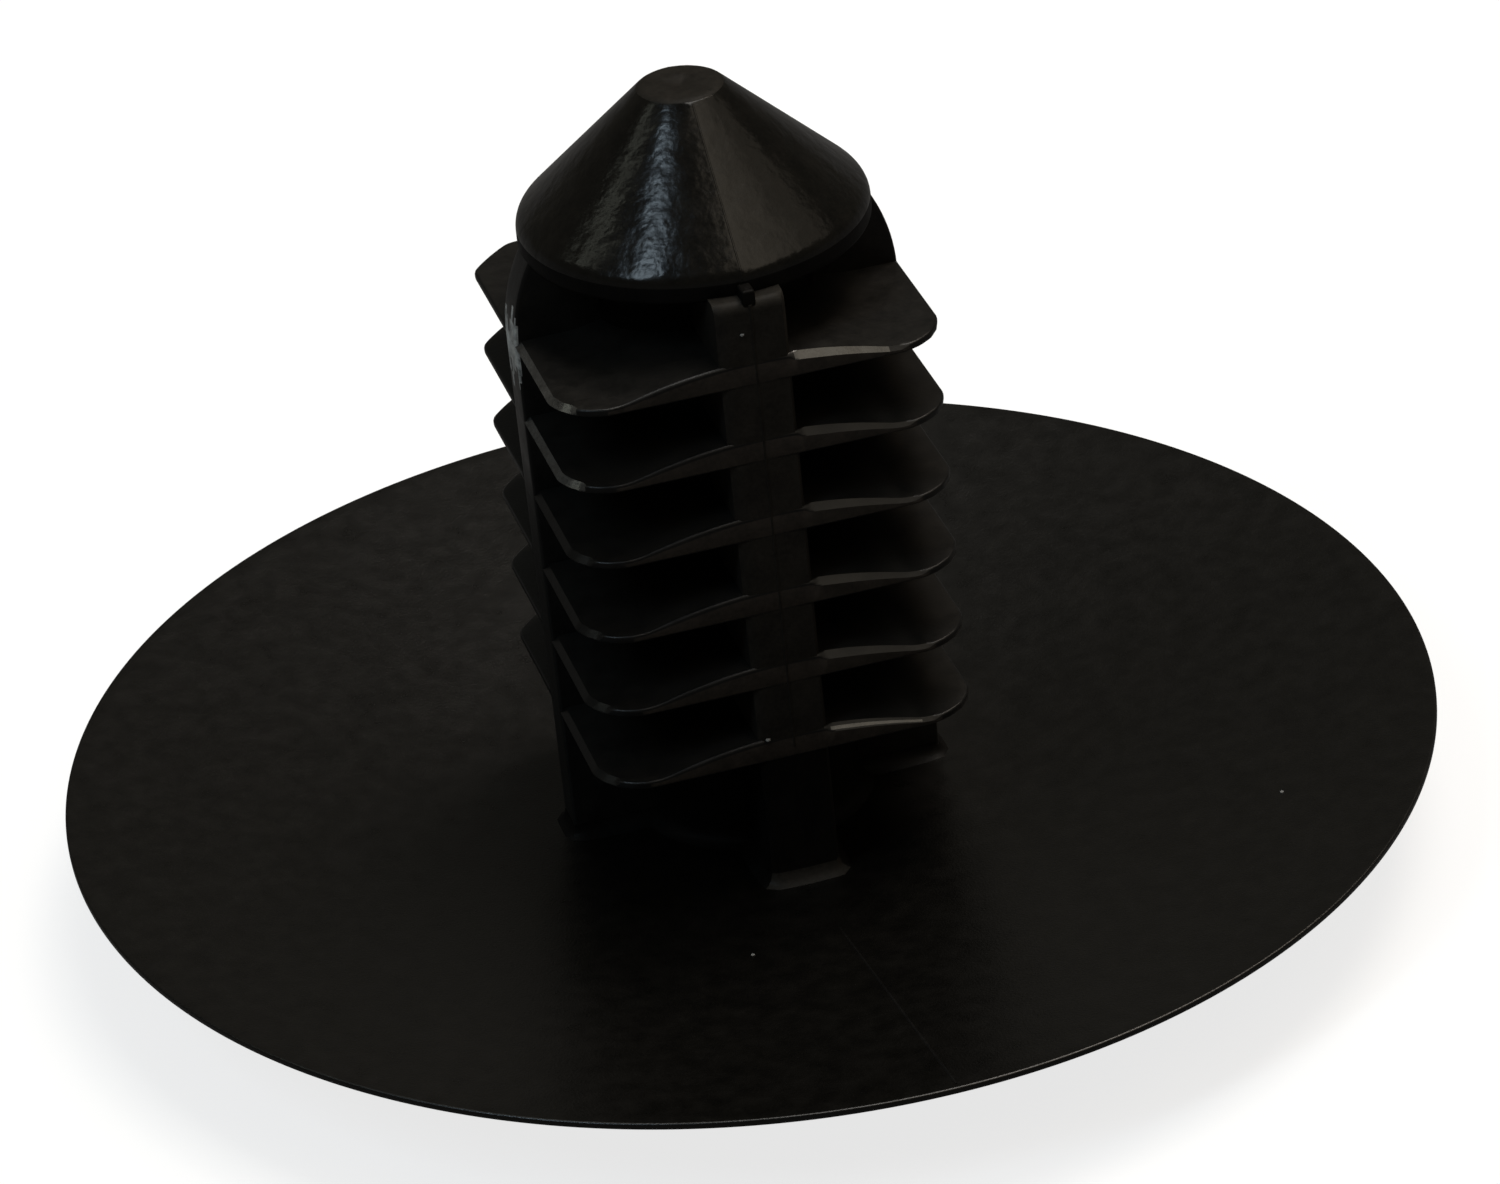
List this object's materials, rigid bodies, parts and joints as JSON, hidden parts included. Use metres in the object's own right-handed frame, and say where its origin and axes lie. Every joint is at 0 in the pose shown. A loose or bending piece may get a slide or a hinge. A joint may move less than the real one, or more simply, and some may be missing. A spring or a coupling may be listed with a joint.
{
  "type": "plastic retainer clip",
  "caption": "Push-in panel retainer moulded in black nylon, with a thin dished round head and a shank of crossed ribs and thin barbs that ends in a pointed lead-in tip.",
  "frame": {"origin": "centre of the flat middle of the head's outer face, on the surface where the clip stands", "axes": "+Z along the shank from the head to the tip; X and Y through the middles of the shank's four flats, with the main rib and the mould's parting plane in YZ"},
  "size_m": [0.0254, 0.0254, 0.0155],
  "materials": {
    "nylon": "satin moulded nylon, glossier on the tip and on the barbs' edges"
  },
  "bodies": {
    "root": {"retainer_clip": "nylon"}
  },
  "joints": []
}
